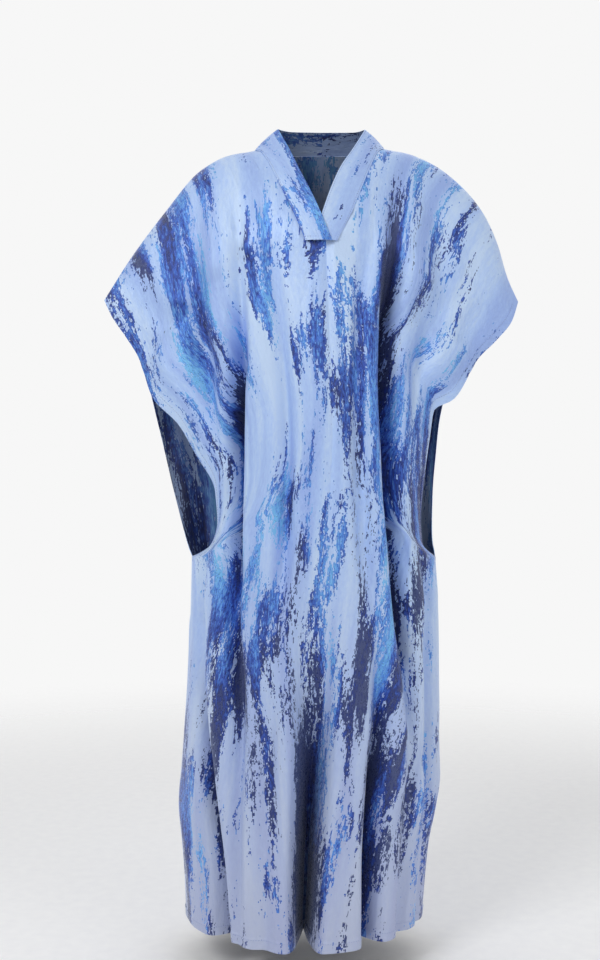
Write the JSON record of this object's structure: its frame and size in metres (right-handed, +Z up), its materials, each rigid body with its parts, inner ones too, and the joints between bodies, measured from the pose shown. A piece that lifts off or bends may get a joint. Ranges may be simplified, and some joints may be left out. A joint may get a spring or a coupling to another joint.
{
  "type": "grand boubou robe",
  "caption": "Full-length wide grand boubou robe in metallic brocade, V neck with a lapped band, open arm slits, hollow as worn.",
  "frame": {"origin": "between the shoulders, on the centre of the neck, at the height where the robe rests on them", "axes": "+Z up, the front faces -Y, +X is the wearer's left"},
  "size_m": [0.778, 0.3465, 1.4921],
  "materials": {
    "brocade": "metallic jacquard, semi-sheen",
    "band": "metallic jacquard, semi-sheen"
  },
  "bodies": {
    "root": {"front_right": "brocade", "front_left": "brocade", "back": "brocade", "neck_band_right": "band", "neck_band_left": "band"}
  },
  "joints": []
}
